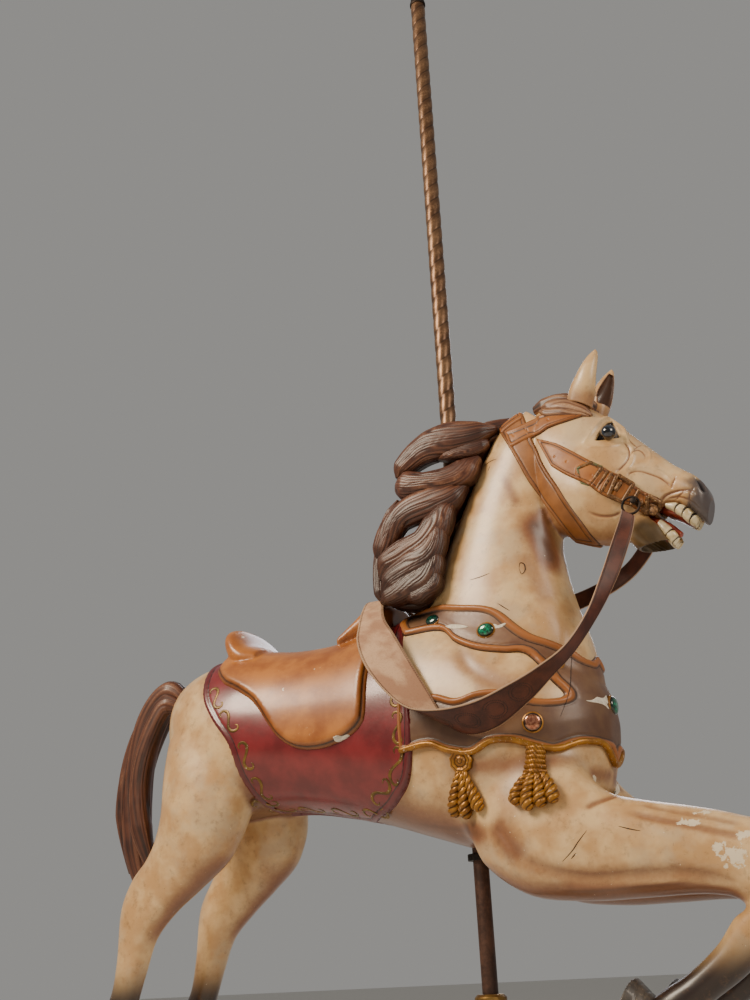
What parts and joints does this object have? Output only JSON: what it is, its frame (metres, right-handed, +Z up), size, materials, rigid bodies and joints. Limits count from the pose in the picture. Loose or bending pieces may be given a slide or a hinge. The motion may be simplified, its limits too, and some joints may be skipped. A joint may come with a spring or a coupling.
{
  "type": "carousel galloping horse on its pole",
  "caption": "Full-size moulded galloping horse with saddle, breast collar, bridle and reins, on a brass-cased pole that slides up and down in a floor guide.",
  "frame": {"origin": "centre of the floor plate's flat underside, on the axis of the pole", "axes": "+X is the way the horse faces, +Y is the horse's left side, +Z is up along the pole"},
  "size_m": [1.6791, 0.4532, 3.1383],
  "materials": {
    "iron": "dark iron, worn and dull",
    "brass_bush": "dull brass",
    "rod_paint": "dark brown paint on steel",
    "pole_brass": "polished brass with a brown patina in the twist",
    "horse_lacquer": "cream enamel with brown shading under glossy lacquer",
    "hoof_paint": "dark grey brown enamel",
    "tooth_paint": "ivory enamel",
    "tongue_paint": "orange red enamel",
    "eye_glass": "black, very glossy",
    "hair_paint": "brown enamel, lighter on the carved strands",
    "blanket_paint": "crimson enamel with gold scrolls",
    "saddle_paint": "orange tan enamel, glossy",
    "collar_paint": "tan brown enamel with dark incised lines",
    "green_glass": "green glass stone, glossy and opaque from outside",
    "bronze_stud": "dark bronze",
    "gold_paint": "old gold paint",
    "rein_leather": "brown leather, worn at the edges"
  },
  "bodies": {
    "floor_socket": {"floor_plate": "iron", "guide_tube": "iron", "guide_bush": "brass_bush"},
    "galloper": {"pole_rod": "rod_paint", "brass_casing": "pole_brass", "pole_cap": "iron", "hanger_eye": "iron", "torso": "horse_lacquer", "neck": "horse_lacquer", "belly_collar": "iron", "foreleg_left": "horse_lacquer", "foreleg_right": "horse_lacquer", "hindleg_left": "horse_lacquer", "hindleg_right": "horse_lacquer", "hoof_fore_left": "hoof_paint", "hoof_fore_right": "hoof_paint", "hoof_hind_left": "hoof_paint", "hoof_hind_right": "hoof_paint", "skull": "horse_lacquer", "lower_jaw": "horse_lacquer", "teeth_upper": "tooth_paint", "teeth_lower": "tooth_paint", "tongue": "tongue_paint", "eye_left": "eye_glass", "eye_right": "eye_glass", "ear_left": "horse_lacquer", "ear_right": "horse_lacquer", "mane": "hair_paint", "forelock": "hair_paint", "tail": "hair_paint", "saddle_blanket": "blanket_paint", "saddle": "saddle_paint", "breast_collar": "collar_paint", "jewel_withers_left": "green_glass", "jewel_withers_right": "green_glass", "jewel_shoulder_left": "green_glass", "jewel_shoulder_right": "green_glass", "jewel_side_left": "green_glass", "jewel_side_right": "green_glass", "jewel_bronze_left": "bronze_stud", "jewel_bronze_right": "bronze_stud", "jewel_chest": "green_glass", "tassel_rear_left": "gold_paint", "tassel_rear_right": "gold_paint", "tassel_front_left": "gold_paint", "tassel_front_right": "gold_paint", "bridle_crown": "collar_paint", "bridle_throat": "collar_paint", "bridle_cheek_left": "collar_paint", "bridle_cheek_right": "collar_paint", "bit_bar": "iron", "bit_ring_left": "iron", "bit_ring_right": "iron", "reins": "rein_leather"}
  },
  "joints": [
    {"name": "gallop_slide", "type": "slide", "parent": "floor_socket", "child": "galloper", "axis": [0, 0, 1], "range_m": [-0.13, 0.13]}
  ]
}
